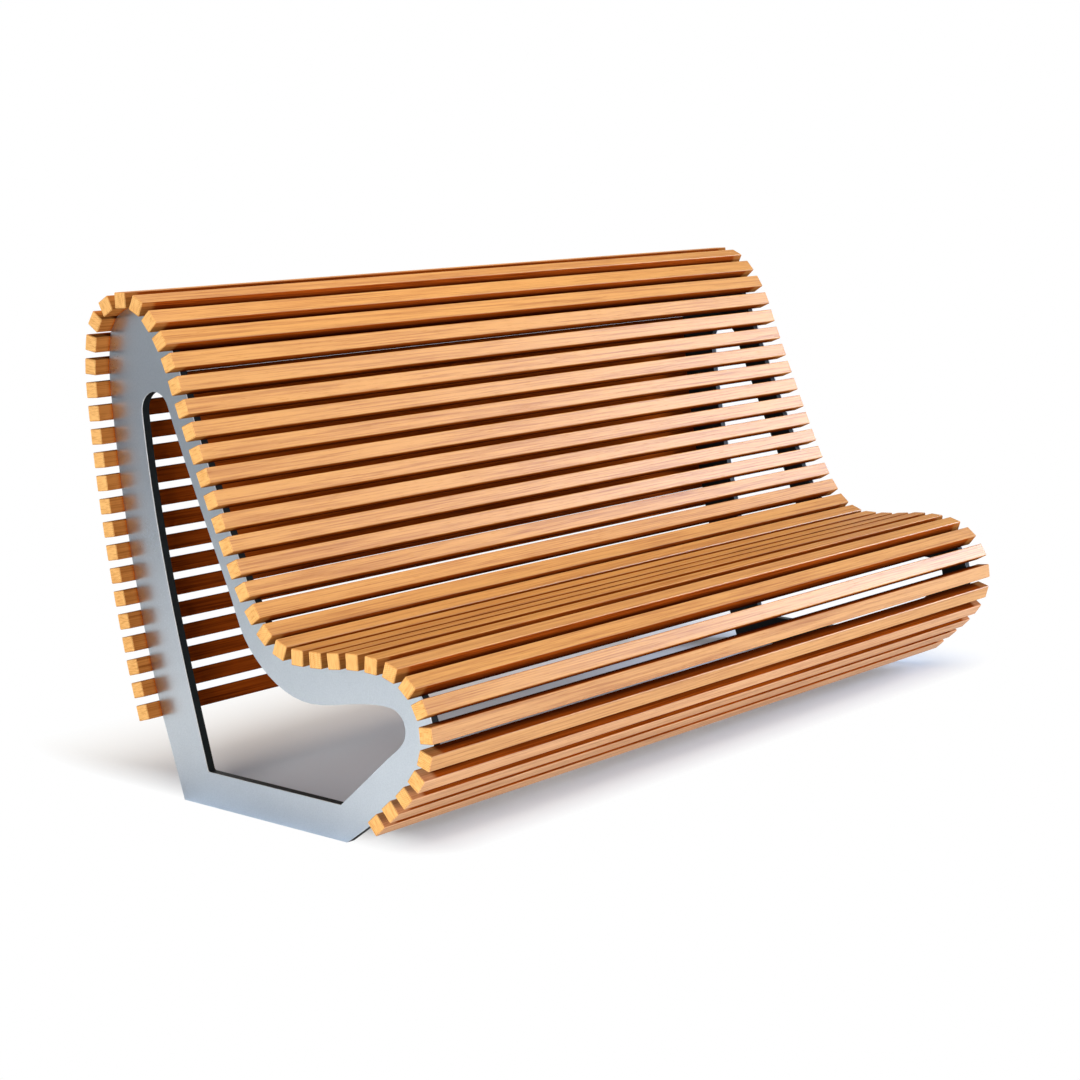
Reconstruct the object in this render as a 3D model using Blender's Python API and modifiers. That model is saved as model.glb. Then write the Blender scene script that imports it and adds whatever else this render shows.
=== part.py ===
"""A long slatted bench: square timber slats laid all round the edge of two flat steel side frames.

Metres, +Z up. X runs along the slats, the sitter faces -Y, and the origin is on the floor under the
middle of the bench. Run it with blender --background --python part.py.
"""

import math
from collections import Counter
from typing import NamedTuple

import bmesh
import bpy
from mathutils import Vector
from mathutils.geometry import intersect_line_line_2d

# Timber slats
SLAT_SIZE = 0.032
SLAT_LENGTH = 2.060
SLAT_EASED_EDGE = 0.0015
BACK_GAP = 0.0155
SEAT_GAP = 0.0165

# Steel side frames. An inset is from the slats' ends to a frame's outer face
FRAME_THICKNESS = 0.020
FRAME_INSET = 0.037
FOOT_BAR = 0.0715
OPENING_TOP_RADIUS = 0.0405
OPENING_CORNER_RADIUS = 0.006
HEEL_RAKE = math.radians(70.4)
TOE_RAKE = math.radians(36.5)

# Studs welded into a frame's edge, one behind each slat. The cover is the timber left over a stud
STUD_DIAMETER = 0.008
STUD_ROOT = 0.006
STUD_COVER = 0.012
STUD_SIDES = 8
STUD_CLEARANCE = 0.0003

# Between a slat and the frame's edge
SEAT_CLEARANCE = 0.0003
# How far a cutter runs past what it cuts
OVERRUN = 0.010
# How far a chord may stray from its arc
CHORD_SAG = 0.0002
# Points closer than this are one point
WELD_DISTANCE = 0.00001

# The line through the slats' centres starts at the lowest rear slat and ends above the toe
START_HEIGHT = 0.1775
START_LEAN = math.radians(73.5)
END_HEIGHT = 0.045

# The arcs of that line, up the rear, over the top, down the back, over the seat and round the front
REAR_RADIUS = 3.300
SHOULDER_RADIUS = 0.420
TOP_RADIUS = 0.099
NECK_RADIUS = 0.320
BACK_RADIUS = 6.200
LUMBAR_RADIUS = 0.380
HIP_RADIUS = 0.134
SEAT_RADIUS = 0.800
THIGH_RADIUS = 0.420
NOSE_RADIUS = 0.125
SHIN_RADIUS = 0.300

# The side frames' width at the floor behind, and where each of those arcs ends
REAR_FOOT_BAND = 0.099
REAR_BAND = 0.0885
SHOULDER_BAND = 0.086
TOP_BAND = 0.060
NECK_BAND = 0.0615
BACK_BAND = 0.057
LUMBAR_BAND = 0.072
HIP_BAND = 0.0815
SEAT_BAND = 0.072
THIGH_BAND = 0.068
NOSE_BAND = 0.069
SHIN_BAND = 0.0745


class Run(NamedTuple):
    """One arc of the slat line. A hollow one bends the other way, as in the small of the back.

    The gap lies between its slats, and the band is the frame's width where the run ends.
    """

    zone: str
    radius: float
    turn: float
    hollow: bool
    gap: float
    band: float


REAR_RUNS = [
    Run("rear", REAR_RADIUS, math.radians(11.5), False, BACK_GAP, REAR_BAND),
    Run("rear", SHOULDER_RADIUS, math.radians(14.5), False, BACK_GAP, SHOULDER_BAND),
]
TOP_RUN = Run("top", TOP_RADIUS, math.radians(126.5), False, BACK_GAP, TOP_BAND)
FRONT_RUNS = [
    Run("back", NECK_RADIUS, math.radians(22.0), False, BACK_GAP, NECK_BAND),
    Run("back", BACK_RADIUS, math.radians(4.0), True, BACK_GAP, BACK_BAND),
    Run("back", LUMBAR_RADIUS, math.radians(15.5), True, SEAT_GAP, LUMBAR_BAND),
    Run("seat", HIP_RADIUS, math.radians(49.0), True, SEAT_GAP, HIP_BAND),
    Run("seat", SEAT_RADIUS, math.radians(8.0), True, SEAT_GAP, SEAT_BAND),
    Run("seat", THIGH_RADIUS, math.radians(15.0), False, SEAT_GAP, THIGH_BAND),
    Run("front", NOSE_RADIUS, math.radians(117.5), False, SEAT_GAP, NOSE_BAND),
    Run("front", SHIN_RADIUS, math.radians(14.0), False, SEAT_GAP, SHIN_BAND),
]
ALL_RUNS = [*REAR_RUNS, TOP_RUN, *FRONT_RUNS]


class Station(NamedTuple):
    """A place on the slat line, at x = 0, and the way that the line heads there."""

    place: Vector
    heading: float

    def along(self):
        return Vector((0, math.cos(self.heading), math.sin(self.heading)))

    def inward(self):
        return Vector((0, -math.sin(self.heading), math.cos(self.heading)))

    def straight_on(self, distance):
        return Station(self.place + self.along() * distance, self.heading)

    def round_arc(self, run, distance):
        curvature = (-1 if run.hollow else 1) / run.radius
        heading = self.heading + distance * curvature
        turned = Station(self.place, heading)
        return Station(self.place + (self.inward() - turned.inward()) / curvature, heading)


def run_starts():
    """The station at which each run starts, and last the one at which the arcs end."""
    starts = [Station(Vector((0, 0, START_HEIGHT)), START_LEAN)]
    for run in ALL_RUNS:
        starts.append(starts[-1].round_arc(run, run.radius * run.turn))
    return starts


def slat_stations(starts):
    """(zone, station) of each slat, along the arcs and then straight down, to just above the toe."""
    placed = []
    distance = 0
    for run, start in zip(ALL_RUNS, starts):
        length = run.radius * run.turn
        while distance <= length:
            placed.append((run.zone, start.round_arc(run, distance)))
            distance += SLAT_SIZE + run.gap
        distance -= length
    station = starts[-1].straight_on(distance)
    while station.place.z > END_HEIGHT:
        placed.append((run.zone, station))
        station = station.straight_on(SLAT_SIZE + run.gap)
    return [(zone, station) for zone, station in placed if station.place.z > END_HEIGHT]


def frame_edge(stations):
    """The frame's outer edge: a flat under each slat, straight lines between them, and the foot."""
    edge = []
    for station in stations:
        seat = station.place + station.inward() * (SLAT_SIZE / 2 + SEAT_CLEARANCE)
        half = station.along() * (SLAT_SIZE / 2)
        edge += [seat - half, seat + half]
    heel = Vector((0, edge[0].y - edge[0].z / math.tan(HEEL_RAKE), 0))
    toe = Vector((0, edge[-1].y + edge[-1].z / math.tan(TOE_RAKE), 0))
    return [heel, *edge, toe]


class EdgePoint(NamedTuple):
    """A point of the opening's edge, and the way into the opening there."""

    point: Vector
    inward: Vector

    def straight_on(self, distance):
        along = Vector((0, self.inward.z, -self.inward.y))
        return EdgePoint(self.point + along * distance, self.inward)

    def on_floor(self):
        return self.straight_on(self.point.z / self.inward.y)


def opening_side(start, runs, band):
    """One side of the opening, a band's width in from the frame's outer edge.

    Along each run the band changes smoothly to the next width, so that the opening has no corner.
    """
    stations = []
    for run in runs:
        chord_turn = 2 * math.acos(1 - CHORD_SAG / run.radius)
        chords = math.ceil(run.turn / chord_turn)
        for i in range(chords):
            share = i / chords
            width = band + (run.band - band) * share**2 * (3 - 2 * share)
            stations.append((start.round_arc(run, run.radius * run.turn * share), width))
        start = start.round_arc(run, run.radius * run.turn)
        band = run.band
    stations.append((start, band))
    depths = [SLAT_SIZE / 2 + width for _, width in stations]
    return [
        EdgePoint(station.place + station.inward() * depth, station.inward())
        for (station, _), depth in zip(stations, depths)
    ]


def meeting(first, second, radius):
    """The centre of the circle that touches both sides, and which chord of each it touches."""
    paths = [[(edge.point + edge.inward * radius).yz for edge in side] for side in (first, second)]
    for i, chord in enumerate(zip(paths[0], paths[0][1:])):
        for j, other in enumerate(zip(paths[1], paths[1][1:])):
            centre = intersect_line_line_2d(*chord, *other)
            if centre:
                return Vector((0, *centre)), i, j
    raise ValueError("two sides of the opening don't meet")


def rounded(centre, radius, begin, end):
    """The arc round this centre, from where it touches the one side to where it touches the other."""
    start = math.atan2(-begin.inward.z, -begin.inward.y)
    sweep = (math.atan2(-end.inward.z, -end.inward.y) - start) % math.tau
    chords = math.ceil(sweep / (2 * math.acos(1 - CHORD_SAG / radius)))
    angles = [start + sweep * i / chords for i in range(chords + 1)]
    return [centre + Vector((0, math.cos(angle), math.sin(angle))) * radius for angle in angles]


def frame_opening(starts):
    """The opening's edge: up the rear band, over its round top, down the front and along the foot."""
    rear = opening_side(starts[0], REAR_RUNS, REAR_FOOT_BAND)
    front = opening_side(starts[len(REAR_RUNS) + 1], FRONT_RUNS, TOP_RUN.band)
    over = TOP_RUN.radius * math.tan(TOP_RUN.turn / 2)
    rear = [rear[0].on_floor(), *rear, rear[-1].straight_on(over)]
    front = [front[0].straight_on(-over), *front, front[-1].on_floor()]
    reach = [start.place.y for start in starts]
    foot = [EdgePoint(Vector((0, y, FOOT_BAR)), Vector((0, 0, 1))) for y in (min(reach), max(reach))]
    top, rear_last, front_first = meeting(rear, front, OPENING_TOP_RADIUS)
    toe, front_last, _ = meeting(front, foot, OPENING_CORNER_RADIUS)
    heel, _, rear_first = meeting(foot, rear, OPENING_CORNER_RADIUS)
    return [
        *[edge.point for edge in rear[rear_first + 1 : rear_last + 1]],
        *rounded(top, OPENING_TOP_RADIUS, rear[rear_last], front[front_first + 1]),
        *[edge.point for edge in front[front_first + 1 : front_last + 1]],
        *rounded(toe, OPENING_CORNER_RADIUS, front[front_last], foot[0]),
        *rounded(heel, OPENING_CORNER_RADIUS, foot[0], rear[rear_first + 1]),
    ]


def clear_scene():
    for obj in list(bpy.data.objects):
        bpy.data.objects.remove(obj)


def new_collection(name, parent, hidden=False):
    collection = bpy.data.collections.new(name)
    parent.children.link(collection)
    collection.hide_render = hidden
    return collection


def new_material(name, colour, roughness, metallic):
    material = bpy.data.materials.new(name)
    material.use_nodes = True
    shader = material.node_tree.nodes["Principled BSDF"]
    shader.inputs["Base Color"].default_value = (*colour, 1)
    shader.inputs["Roughness"].default_value = roughness
    shader.inputs["Metallic"].default_value = metallic
    return material


def as_helper(collection, obj, name):
    """Hides a cutter, or a piece that a frame is joined from, in the helpers' collection."""
    for other in obj.users_collection:
        other.objects.unlink(obj)
    collection.objects.link(obj)
    obj.name = name
    obj.hide_render = True
    obj.display_type = "WIRE"


def baked(source, name):
    """The source object's evaluated mesh, where it stands, with loose caps welded. It is removed."""
    bpy.context.view_layer.update()
    graph = bpy.context.evaluated_depsgraph_get()
    mesh = bpy.data.meshes.new_from_object(source.evaluated_get(graph))
    mesh.name = name
    mesh.transform(source.matrix_world)
    shape = bmesh.new()
    shape.from_mesh(mesh)
    bmesh.ops.remove_doubles(shape, verts=shape.verts, dist=WELD_DISTANCE)
    shape.to_mesh(mesh)
    shape.free()
    bpy.data.objects.remove(source)
    return mesh


def frame_x():
    """How far the middle of a side frame's plate lies from the middle of the bench."""
    return SLAT_LENGTH / 2 - FRAME_INSET - FRAME_THICKNESS / 2


def slat_mesh(helpers):
    """A slat along X, its outer face up, with a blind hole in its lower face for each stud."""
    bpy.ops.mesh.primitive_cube_add(size=1)
    slat = bpy.context.object
    slat.scale = (SLAT_LENGTH, SLAT_SIZE, SLAT_SIZE)
    bpy.ops.object.transform_apply(location=False, rotation=False, scale=True)
    eased = slat.modifiers.new("eased_edges", "BEVEL")
    eased.width = SLAT_EASED_EDGE
    eased.segments = 1
    hole_radius = STUD_DIAMETER / 2 + STUD_CLEARANCE
    hole_top = SLAT_SIZE / 2 - STUD_COVER
    hole_bottom = -SLAT_SIZE / 2 - OVERRUN
    for x in (-frame_x(), frame_x()):
        bpy.ops.mesh.primitive_cylinder_add(
            vertices=STUD_SIDES,
            radius=hole_radius,
            depth=hole_top - hole_bottom,
            location=(x, 0, (hole_top + hole_bottom) / 2),
        )
        hole = bpy.context.object
        as_helper(helpers, hole, "stud_hole")
        cut = slat.modifiers.new(hole.name, "BOOLEAN")
        cut.operation = "DIFFERENCE"
        cut.object = hole
    return baked(slat, "slat")


def plate(helpers, loops):
    """A flat plate across X with these outlines, as a helper object."""
    curve = bpy.data.curves.new("plate_outline", "CURVE")
    curve.dimensions = "2D"
    curve.fill_mode = "BOTH"
    curve.extrude = FRAME_THICKNESS / 2
    for loop in loops:
        spline = curve.splines.new("POLY")
        spline.points.add(len(loop) - 1)
        spline.use_cyclic_u = True
        for point, place in zip(spline.points, loop):
            point.co = (place.y, place.z, 0, 1)
    outline = bpy.data.objects.new("plate_outline", curve)
    outline.rotation_euler = (math.pi / 2, 0, math.pi / 2)
    helpers.objects.link(outline)
    flat = bpy.data.objects.new("plate", baked(outline, "plate"))
    helpers.objects.link(flat)
    return flat


def frame_mesh(helpers, starts, stations):
    """A side frame across X: the flat ring with a stud on its edge behind each slat."""
    ring = plate(helpers, [frame_edge(stations), frame_opening(starts)])
    studs = new_collection("studs", helpers)
    stud_top = STUD_COVER - SLAT_SIZE / 2 + STUD_CLEARANCE
    stud_root = SLAT_SIZE / 2 + STUD_ROOT
    for station in stations:
        bpy.ops.mesh.primitive_cylinder_add(
            vertices=STUD_SIDES,
            radius=STUD_DIAMETER / 2,
            depth=stud_root - stud_top,
            location=station.place + station.inward() * (stud_root + stud_top) / 2,
            rotation=(station.heading - math.pi, 0, 0),
        )
        as_helper(studs, bpy.context.object, "stud")
    weld = ring.modifiers.new("welded_studs", "BOOLEAN")
    weld.operation = "UNION"
    weld.operand_type = "COLLECTION"
    weld.collection = studs
    return baked(ring, "side_frame")


def add_part(collection, origin, name, mesh, material, location, lean=0):
    part = bpy.data.objects.new(name, mesh)
    if not mesh.materials:
        mesh.materials.append(material)
    part.location = location
    part.rotation_euler.x = lean
    part.parent = origin
    collection.objects.link(part)
    return part


def middle_y(parts):
    """Halfway between the parts' foremost and rearmost points."""
    bpy.context.view_layer.update()
    reach = [(part.matrix_world @ vertex.co).y for part in parts for vertex in part.data.vertices]
    return (min(reach) + max(reach)) / 2


def build():
    clear_scene()
    bench = new_collection("bench", bpy.context.scene.collection)
    helpers = new_collection("bench_helpers", bpy.context.scene.collection, hidden=True)
    timber = new_material("slat_timber", (0.68, 0.33, 0.10), 0.55, 0)
    steel = new_material("frame_steel", (0.30, 0.37, 0.45), 0.40, 0)
    origin = bpy.data.objects.new("bench_origin", None)
    bench.objects.link(origin)

    starts = run_starts()
    placed = slat_stations(starts)
    slat = slat_mesh(helpers)
    frame = frame_mesh(helpers, starts, [station for _, station in placed])

    counts = Counter()
    parts = []
    for zone, station in placed:
        counts[zone] += 1
        name = f"{zone}_slat_{counts[zone]:02d}"
        lean = station.heading - math.pi
        parts.append(add_part(bench, origin, name, slat, timber, station.place, lean))
    for name, x in (("left_side_frame", -frame_x()), ("right_side_frame", frame_x())):
        parts.append(add_part(bench, origin, name, frame, steel, (x, 0, 0)))
    origin.location.y = -middle_y(parts)


build()
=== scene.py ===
"""The slatted bench: its looks, floor, light and camera. Metres, +Z up, X along the slats."""

import math

import bpy
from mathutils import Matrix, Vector


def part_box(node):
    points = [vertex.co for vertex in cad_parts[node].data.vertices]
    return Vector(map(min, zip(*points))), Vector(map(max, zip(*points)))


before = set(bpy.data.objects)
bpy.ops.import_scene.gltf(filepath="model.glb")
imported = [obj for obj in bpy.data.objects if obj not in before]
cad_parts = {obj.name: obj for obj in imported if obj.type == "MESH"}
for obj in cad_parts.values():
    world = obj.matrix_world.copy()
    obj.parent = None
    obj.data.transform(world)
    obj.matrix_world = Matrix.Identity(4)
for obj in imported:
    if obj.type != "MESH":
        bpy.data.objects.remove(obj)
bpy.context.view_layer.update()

# Side frames: two flat steel plates with an open middle. They stand on their lower edges, and studs on
# their outer edges carry the slats. The outer faces have a satin blue-grey finish with a fine grain, and
# the cut edges and the inner faces are near black. A painted highlight, a bright line, runs along the cut
# edges beside the outer face.
OUTER_FACE = 0.993
HIGHLIGHT_WIDTH = 0.003
STEEL_LIGHT = (0.665, 0.735, 0.81)
STEEL_CLOUDED = (0.585, 0.655, 0.73)
# Painted highlight: the colour of the bright line along the cut edges beside the outer face
STEEL_PAINTED_HIGHLIGHT = (0.90, 0.93, 0.95)
STEEL_BLACK = (0.013, 0.016, 0.017)
BLACK_ROUGHNESS, FACE_ROUGHNESS = 0.42, 0.30
STEEL_GLOSS = 0.05
FACE_GRAIN, GRAIN_DEPTH, GRAIN_RELIEF = 380, 0.0002, 0.10
CLOUDS = 5


class Wire:
    """One socket's value in a material. Sums written on it add Math nodes, and make adds any other node."""

    def __init__(self, tree, socket=None):
        self.tree, self.socket = tree, socket

    def make(self, kind, settings=None, values=None, out=0):
        node = self.tree.nodes.new("ShaderNode" + kind)
        for name, setting in (settings or {}).items():
            setattr(node, name, setting)
        for name, value in (values or {}).items():
            if isinstance(value, Wire):
                self.tree.links.new(value.socket, node.inputs[name])
            else:
                node.inputs[name].default_value = value
        return Wire(self.tree, node.outputs[out] if node.outputs else None)

    def sum(self, operation, *values):
        return self.make("Math", {"operation": operation}, dict(enumerate(values)))

    def __add__(self, other):
        return self.sum("ADD", self, other)

    __radd__ = __add__

    def __sub__(self, other):
        return self.sum("SUBTRACT", self, other)

    def __rsub__(self, other):
        return self.sum("SUBTRACT", other, self)

    def __mul__(self, other):
        return self.sum("MULTIPLY", self, other)

    __rmul__ = __mul__

    def __truediv__(self, other):
        return self.sum("DIVIDE", self, other)

    def __abs__(self):
        return self.sum("ABSOLUTE", self)

    def __pow__(self, other):
        return self.sum("POWER", self, other)

    def __mod__(self, other):
        return self.sum("FLOORED_MODULO", self, other)

    def rise(self, low, high):
        """0 below low, 1 above high, and a smooth rise between them."""
        return self.make(
            "MapRange",
            {"interpolation_type": "SMOOTHSTEP"},
            {"Value": self, "From Min": low, "From Max": high},
        )

    def between(self, low, high):
        """The first colour where this value is 0, the second where it is 1."""
        low, high = (end if isinstance(end, Wire) else (*end, 1) for end in (low, high))
        return self.make("Mix", {"data_type": "RGBA"}, {0: self, 6: low, 7: high}, out=2)

    def stretched(self, scale):
        """This place in the material, with each direction scaled by its own number."""
        return self.make("VectorMath", {"operation": "MULTIPLY"}, {0: self, 1: scale})

    def parts(self):
        split = self.make("SeparateXYZ", values={0: self})
        return [Wire(self.tree, socket) for socket in split.socket.node.outputs]

    def clouds(self, detail, scale=1.0):
        return self.make("TexNoise", values={"Vector": self, "Scale": scale, "Detail": detail})


def new_finish(name):
    """An empty material and a wire to write its nodes on."""
    finish = bpy.data.materials.new(name)
    finish.use_nodes = True
    finish.node_tree.nodes.clear()
    return finish, Wire(finish.node_tree)


def surface(wire, **values):
    """A Principled surface with those inputs."""
    named = {name.replace("_", " "): value for name, value in values.items()}
    return wire.make("BsdfPrincipled", values=named)


coated, wire = new_finish("coated_steel")
place = wire.make("TexCoord", out="Object")
sideways = place.parts()[0]
facing = wire.make("TexCoord", out="Normal").parts()[0]

# An outer face looks away from the bench's middle, so its place and its direction have the same sign
outer_face = (sideways * facing).rise(0.35, 0.75)
# Painted highlight: a thin band of the cut edges beside the outer face turns bright
painted_highlight = abs(sideways).rise(OUTER_FACE - HIGHLIGHT_WIDTH, OUTER_FACE - HIGHLIGHT_WIDTH / 2) * (1 - outer_face)
smoother = (outer_face + painted_highlight) * (BLACK_ROUGHNESS - FACE_ROUGHNESS)
grain = place.clouds(2.0, FACE_GRAIN)
clouding = place.clouds(3.0, CLOUDS)
shade = clouding.rise(0.3, 0.7) * 0.6 + (grain - 0.5) * 1.7
coat = shade.between(STEEL_LIGHT, STEEL_CLOUDED)
steel = surface(
    wire,
    Base_Color=painted_highlight.between(outer_face.between(STEEL_BLACK, coat), STEEL_PAINTED_HIGHLIGHT),
    Metallic=outer_face,
    Roughness=BLACK_ROUGHNESS - smoother + (clouding - 0.5) * 0.06 + (grain - 0.5) * 0.10,
    Specular_IOR_Level=STEEL_GLOSS,
    Normal=wire.make(
        "Bump", values={"Strength": GRAIN_RELIEF, "Distance": GRAIN_DEPTH, "Height": grain}
    ),
)
wire.make("OutputMaterial", values={"Surface": steel})
for name in ("left_side_frame", "right_side_frame"):
    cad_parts[name].material_slots[0].material = coated

# Slats: 51 equal bars of planed and oiled hardwood, 32 mm square, each held on two studs of the frames.
# Their outer faces are paler from weather. The ends past the frames are painted paler on all sides, as
# painted light, and the lowest slats at the front carry painted light, a paler pinker colour. The sides in
# the gaps and the inner faces are a deep red-brown, partly the oil's own colour and partly painted shade,
# with painted shade darker further into the gaps.
SLATS = sorted(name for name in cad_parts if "_slat_" in name)
HALF_SLAT = 0.016
PALE_LIGHT = (0.497, 0.240, 0.064)
PALE_DARK = (0.280, 0.092, 0.018)
PALED_DEPTH = 0.0022
PAST_FRAME = (OUTER_FACE - 0.004, OUTER_FACE + 0.012)
# Painted light on the lowest front slats: a paler, pinker colour for the light they catch
PAINTED_LIT_FRONT_LIGHT = (0.63, 0.34, 0.165)
PAINTED_LIT_FRONT_DARK = (0.41, 0.18, 0.075)
PAINTED_LIT_FRONT_SLATS = {4: 0.3, 5: 0.3, 6: 1.0, 7: 1.0, 8: 1.0, 9: 1.0}
# Sides and inner faces: partly the oil's own red-brown, partly painted shade
DEEP_LIGHT = (0.34, 0.064, 0.006)
DEEP_DARK = (0.11, 0.015, 0.0015)
# Painted shade in the gaps, darkest just off the inner face
GAP_PAINTED_SHADE = (0.020, 0.0015, 0.0002)
GAP_PAINTED_SHADE_FROM = (0.0002 - HALF_SLAT, 0.0015 - HALF_SLAT)
GAP_PAINTED_SHADE_TO = (-0.010, 0.012)
END_LIGHT = (0.88, 0.50, 0.180)
END_DARK = (0.60, 0.26, 0.070)
PORES = (0.20, 0.05, 0.008)
OIL_SHEEN, OIL_ROUGHNESS, OIL_INDEX = 0.24, 0.40, 2.5
NEXT_BOARD = 0.6180339887

timber, wire = new_finish("oiled_hardwood")
board, lean, bleached = (
    wire.make("Attribute", {"attribute_type": "OBJECT", "attribute_name": own}, out="Fac")
    for own in ("board", "lean", "bleached")
)
middle = wire.make("Attribute", {"attribute_type": "OBJECT", "attribute_name": "middle"}, out="Vector")
place = wire.make("TexCoord", out="Object")
from_middle = wire.make("VectorMath", {"operation": "SUBTRACT"}, {0: place, 1: middle})
in_slat = wire.make(
    "VectorRotate", {"rotation_type": "X_AXIS"}, {"Vector": from_middle, "Angle": lean * -1}
)
along, outward, across = in_slat.parts()
end_face = abs(wire.make("TexCoord", out="Normal").parts()[0]).rise(0.55, 0.85)
outer = outward.rise(HALF_SLAT - PALED_DEPTH, HALF_SLAT - PALED_DEPTH / 4)
# Outer faces are paler from weather; the ends past the frames are painted paler, as painted light
weathered_and_painted_lit = wire.sum("MAXIMUM", outer, abs(along).rise(*PAST_FRAME) * 0.5)
# The painted shade of a gap starts just off the inner face and is gone near the outer one
painted_gap_shade = outward.rise(*GAP_PAINTED_SHADE_FROM) * (1 - outward.rise(*GAP_PAINTED_SHADE_TO))

# Each slat is cut from a board of its own, from another place in the tree. The numbers of the markings
# say how often they change in a metre along the slat, outwards and across
WANDER = (1, 6, 6)
FIBRES = (7, 380, 380)
STREAKS = (2.6, 150, 150)
PATCHES = (1.4, 14, 14)
PORE_MARKS = (26, 900, 900)
END_RAYS = (30, 60, 420)
in_tree = wire.make(
    "CombineXYZ", values={0: along + board * 40, 1: outward + board * 11, 2: across - board * 17}
)
wander = in_tree.stretched(WANDER).clouds(2.0, 1.6) - 0.5
fibres = in_tree.stretched(FIBRES).clouds(3.0)
streaks = in_tree.stretched(STREAKS).clouds(3.0)
patches = in_tree.stretched(PATCHES).clouds(2.0)
pores = in_tree.stretched(PORE_MARKS).clouds(2.0).rise(0.60, 0.72)
end_rays = in_tree.stretched(END_RAYS).clouds(3.0)

# Growth rings run round the tree's heart, which lies outside the slat and leans a little along it
HEART_AWAY, HEART_FURTHER, HEART_LEANS = 0.030, 0.07, 0.004
HEART_ACROSS, HEART_WANDERS = 0.16, 0.020
RING_WIDTH = 0.0036
heart_across = across - (board - 0.5) * HEART_ACROSS + wander * HEART_WANDERS
heart_outward = outward + HEART_AWAY + board * 7 % 1 * HEART_FURTHER + along * HEART_LEANS
radius = (heart_across**2 + heart_outward**2) ** 0.5
rings = (radius / RING_WIDTH + wander * 2) % 1
late_wood = rings.rise(0.30, 0.85) * (1 - rings.rise(0.90, 1.0))

tone = board * 13 % 1
darkness = (
    0.10
    + late_wood * 0.24
    + (fibres - 0.5) * 1.8
    + (streaks - 0.5) * 1.5
    + (patches - 0.5) * 0.7
    + tone * 0.20
)
pale = darkness.between(PALE_LIGHT, PALE_DARK)
# Painted light: the lowest front slats turn paler and pinker
pale = bleached.between(pale, darkness.between(PAINTED_LIT_FRONT_LIGHT, PAINTED_LIT_FRONT_DARK))
# The sides and inner faces: the oil's own red-brown darkened as painted shade, then painted gap shade
# further in
deep = darkness.between(DEEP_LIGHT, DEEP_DARK)
deep = (painted_gap_shade * 0.75).between(deep, GAP_PAINTED_SHADE)
long_faces = (pores * 0.30).between(weathered_and_painted_lit.between(deep, pale), PORES)
end_tone = late_wood * 0.40 + (end_rays - 0.5) * 2.4 + tone * 0.20 + (patches - 0.5) * 0.6
ends = end_tone.between(END_LIGHT, END_DARK)
relief = fibres * 0.6 + late_wood * 0.25 - pores * 0.5
wood = surface(
    wire,
    Base_Color=end_face.between(long_faces, ends),
    Roughness=0.50 + (fibres - 0.5) * 0.25 + pores * 0.10 + end_face * 0.12,
    Specular_IOR_Level=0.0,
    Coat_Weight=outer * (1 - end_face) * (OIL_SHEEN - pores * (OIL_SHEEN / 2)),
    Coat_Roughness=OIL_ROUGHNESS,
    Coat_IOR=OIL_INDEX,
    Normal=wire.make("Bump", values={"Strength": 0.25, "Distance": 0.0004, "Height": relief}),
)
wire.make("OutputMaterial", values={"Surface": wood})
for number, name in enumerate(SLATS):
    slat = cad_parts[name]
    low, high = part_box(name)
    # The inner face is cut up by the studs' holes, and the two sides' directions cancel out
    largest = sorted(slat.data.polygons, key=lambda face: face.area)[-6:]
    out = sum((face.normal for face in largest), Vector())
    row, place_in_row = name.split("_slat_")
    slat["board"] = (number * NEXT_BOARD) % 1
    slat["lean"] = math.atan2(out.z, out.y)
    slat["middle"] = [*((low + high) / 2)]
    # How much painted light each front slat carries
    slat["bleached"] = PAINTED_LIT_FRONT_SLATS.get(int(place_in_row), 0.0) if row == "front" else 0.0
    slat.material_slots[0].material = timber

# Floor: a plain white studio floor that keeps the bench's soft shadow. For the camera it fades to the
# white background, from its own line and over its own width at each side of the bench.
HALF_FLOOR = 30
FLOOR_COLOUR = (0.82, 0.87, 0.94)
FLOOR_SPECKS, SPECKS = (0.7, 0.7, 0.7), 60
SHADOW_LEFT, FADE_LEFT = -0.86, 0.13
SHADOW_RIGHT, FADE_RIGHT = 0.98, 0.32
SHADOW_FRONT, FADE_FRONT = -0.29, 0.14
SHADOW_REAR, FADE_REAR = 0.48, 0.40
FLOOR_GLOW = 0.03
BLACK, WHITE = (0, 0, 0), (1, 1, 1)

floor_mesh = bpy.data.meshes.new("studio_floor")
corners = [(x * HALF_FLOOR, y * HALF_FLOOR, 0) for x, y in ((-1, -1), (1, -1), (1, 1), (-1, 1))]
floor_mesh.from_pydata(corners, [], [(0, 1, 2, 3)])
floor = bpy.data.objects.new("studio_floor", floor_mesh)
bpy.context.scene.collection.objects.link(floor)
floor_finish, wire = new_finish("studio_floor")
seen = wire.make("LightPath", out="Is Camera Ray")
place = wire.make("TexCoord", out="Object")
beside, behind, _ = place.parts()
fades = [
    (SHADOW_LEFT - beside) / FADE_LEFT,
    (beside - SHADOW_RIGHT) / FADE_RIGHT,
    (SHADOW_FRONT - behind) / FADE_FRONT,
    (behind - SHADOW_REAR) / FADE_REAR,
]
left, right, front, rear = (wire.sum("MAXIMUM", fade, 0) ** 2 for fade in fades)
far = wire.sum("MINIMUM", (left + right + front + rear) ** 0.5, 1)
matt = surface(
    wire,
    Base_Color=(place.clouds(4.0, SPECKS) * 0.02).between(FLOOR_COLOUR, FLOOR_SPECKS),
    Roughness=0.9,
    Specular_IOR_Level=0.0,
    Emission_Color=seen.between(BLACK, WHITE),
    Emission_Strength=FLOOR_GLOW,
)
white = wire.make("Emission", values={"Color": (*WHITE, 1), "Strength": 1.0})
shown = wire.make("MixShader", values={0: far * seen, 1: matt, 2: white})
wire.make("OutputMaterial", values={"Surface": shown})
floor_mesh.materials.append(floor_finish)

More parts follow.
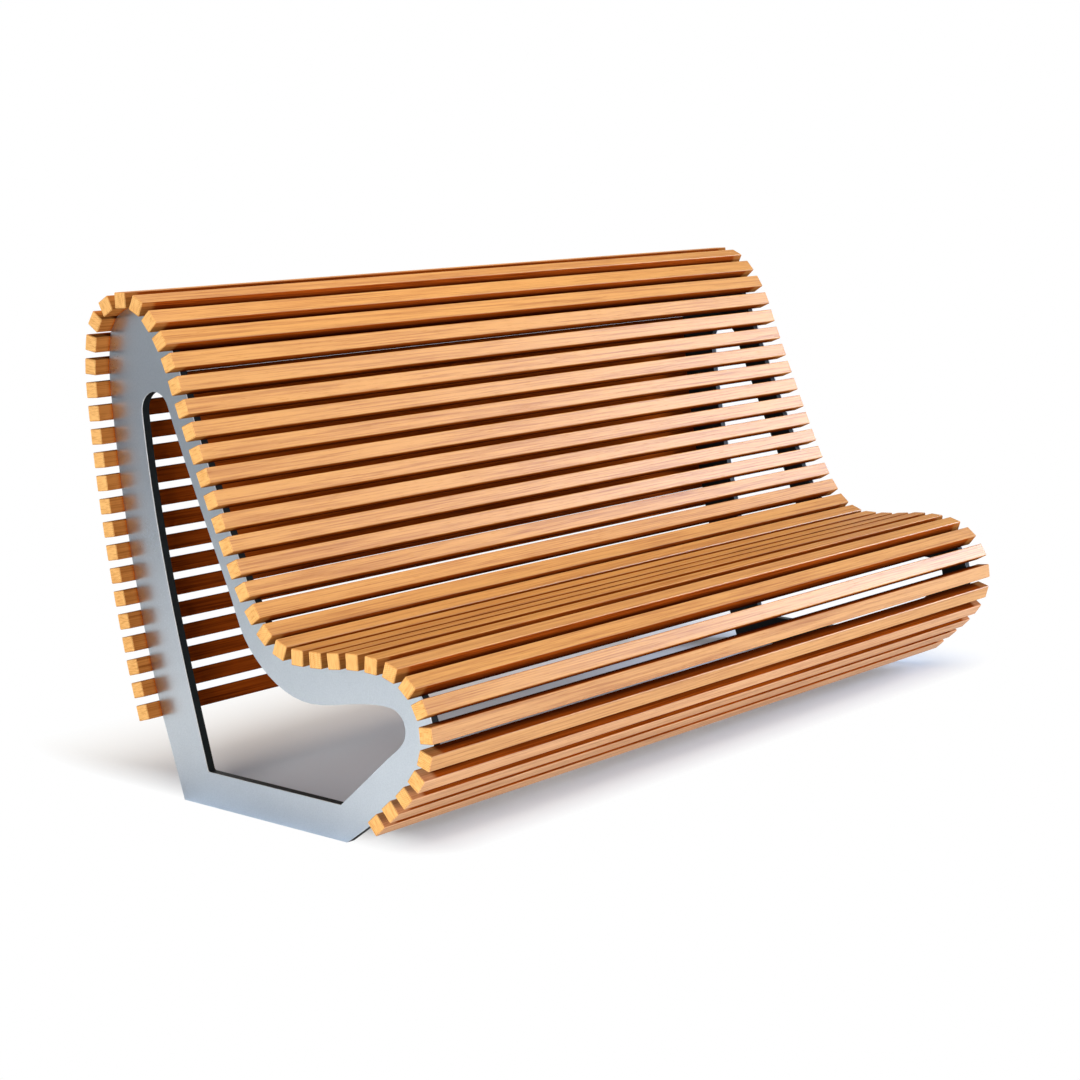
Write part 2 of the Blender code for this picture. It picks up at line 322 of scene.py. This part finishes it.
# Background and light: a white studio with a faint dome of light and five soft boxes. The right front box
# gives the slats their sheen, the front one lights the lowest slats, the left one the slats' ends and the
# near plate, and the top and rear ones the seat and the back.
DOME_COLOUR = (0.92, 0.96, 1.0)
DOME_STRENGTH = 0.09
# Each box: its name, its place, what it lights, its side in metres, its watts and its colour
BOXES = [
    ("right_front_box", (4.4, -2.1, 1.6), (0.5, 0, 0.5), 1.9, 220, (0.72, 0.81, 1.0)),
    ("front_box", (0.1, -3.9, 0.35), (0, 0, 0.2), 1.0, 118, (0.92, 0.95, 1.0)),
    ("left_box", (-4.6, -1.5, 1.2), (-1.1, 0.1, 0.4), 2.0, 150, (1.0, 0.98, 0.95)),
    ("top_box", (-0.3, 0.1, 3.6), (0, 0, 0.3), 1.8, 108, (1.0, 0.87, 0.70)),
    ("rear_box", (0.3, 4.5, 1.3), (0, 0, 0.5), 2.6, 78, (1.0, 0.99, 0.98)),
]

studio = bpy.data.worlds.new("studio")
bpy.context.scene.world = studio
studio.use_nodes = True
studio.node_tree.nodes.clear()
wire = Wire(studio.node_tree)
# Mirror-like and clear surfaces show the same white as the camera sees
camera_ray, glossy_ray, clear_ray = (
    wire.make("LightPath", out=f"Is {kind} Ray") for kind in ("Camera", "Glossy", "Transmission")
)
seen_white = wire.sum("MINIMUM", camera_ray + glossy_ray + clear_ray, 1)
dome = wire.make("Background", values={"Color": (*DOME_COLOUR, 1), "Strength": DOME_STRENGTH})
backdrop = wire.make("Background", values={"Color": (*WHITE, 1), "Strength": 1.0})
shown = wire.make("MixShader", values={0: seen_white, 1: dome, 2: backdrop})
wire.make("OutputWorld", values={"Surface": shown})
for name, place, aim, side, watts, colour in BOXES:
    light = bpy.data.lights.new(name, "AREA")
    light.shape, light.size, light.energy, light.color = "SQUARE", side, watts, colour
    box = bpy.data.objects.new(name, light)
    box.location = place
    box.rotation_euler = (Vector(aim) - Vector(place)).to_track_quat("-Z", "Y").to_euler()
    bpy.context.scene.collection.objects.link(box)

# Camera: at the left front, a little above the bench's top, turned as the photograph was taken. The lens
# and the sensor are in millimetres, and the turn is in degrees.
LENS, SENSOR = 78.625, 36
EYE = (-4.1119, -3.2807, 1.3668)
EYE_TURN = (79.888, 0.1857, -50.3787)
SIGHT = 200

eye = bpy.data.cameras.new("eye")
eye.lens, eye.sensor_width, eye.clip_end = LENS, SENSOR, SIGHT
camera = bpy.data.objects.new("eye", eye)
camera.location = EYE
camera.rotation_euler = [math.radians(turn) for turn in EYE_TURN]
bpy.context.scene.collection.objects.link(camera)
bpy.context.scene.camera = camera

bpy.context.scene.view_settings.view_transform = "Standard"
